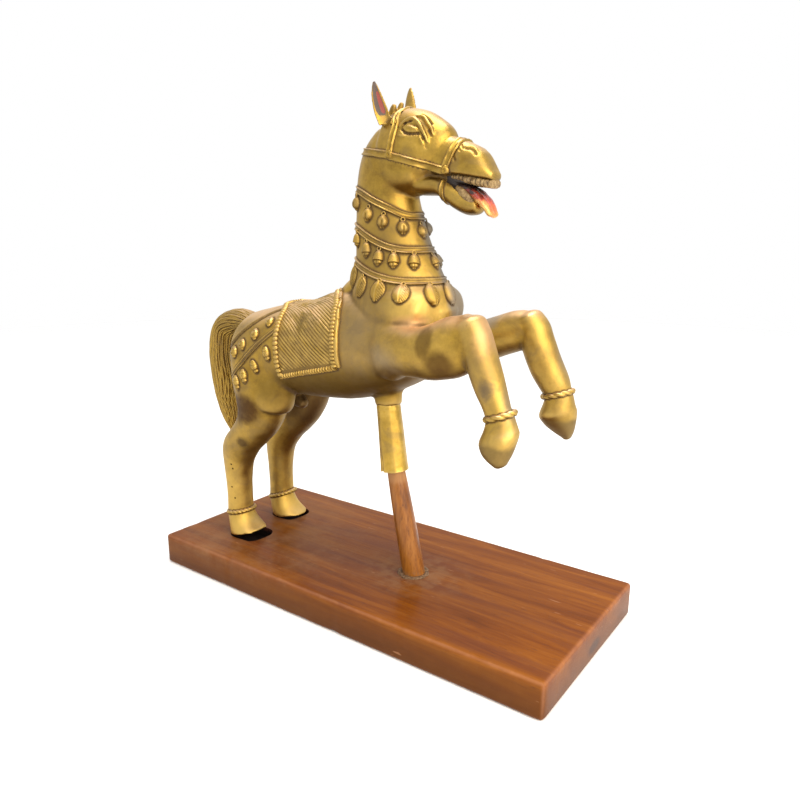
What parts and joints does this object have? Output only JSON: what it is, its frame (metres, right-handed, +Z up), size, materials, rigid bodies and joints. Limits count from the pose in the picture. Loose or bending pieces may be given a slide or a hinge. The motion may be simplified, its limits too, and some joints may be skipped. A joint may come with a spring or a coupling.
{
  "type": "brass horse statue on a wooden stand",
  "caption": "Cast brass horse rearing on its hind legs, with bells, bridle and saddle cloth, held by a brass-sleeved wooden peg on a varnished plank.",
  "frame": {"origin": "middle of the plank's underside, where the stand rests on a table", "axes": "+X forward along the plank and the horse, +Y to the horse's left, +Z up"},
  "size_m": [0.51, 0.216, 0.5315],
  "materials": {
    "cast_brass": "aged brass, hand polished on the high places, brown and grey tarnish in the hollows, worn red paint on the tongue and inside the ears",
    "sheet_brass": "hammered sheet brass with a nailed seam, dull satin",
    "peg_wood": "oiled red-brown wood, grain along the peg",
    "varnished_wood": "varnished red-brown wood, scratched, with worn edges"
  },
  "bodies": {
    "root": {"base_board": "varnished_wood", "support_peg": "peg_wood", "sleeve": "sheet_brass", "horse": "cast_brass"}
  },
  "joints": []
}
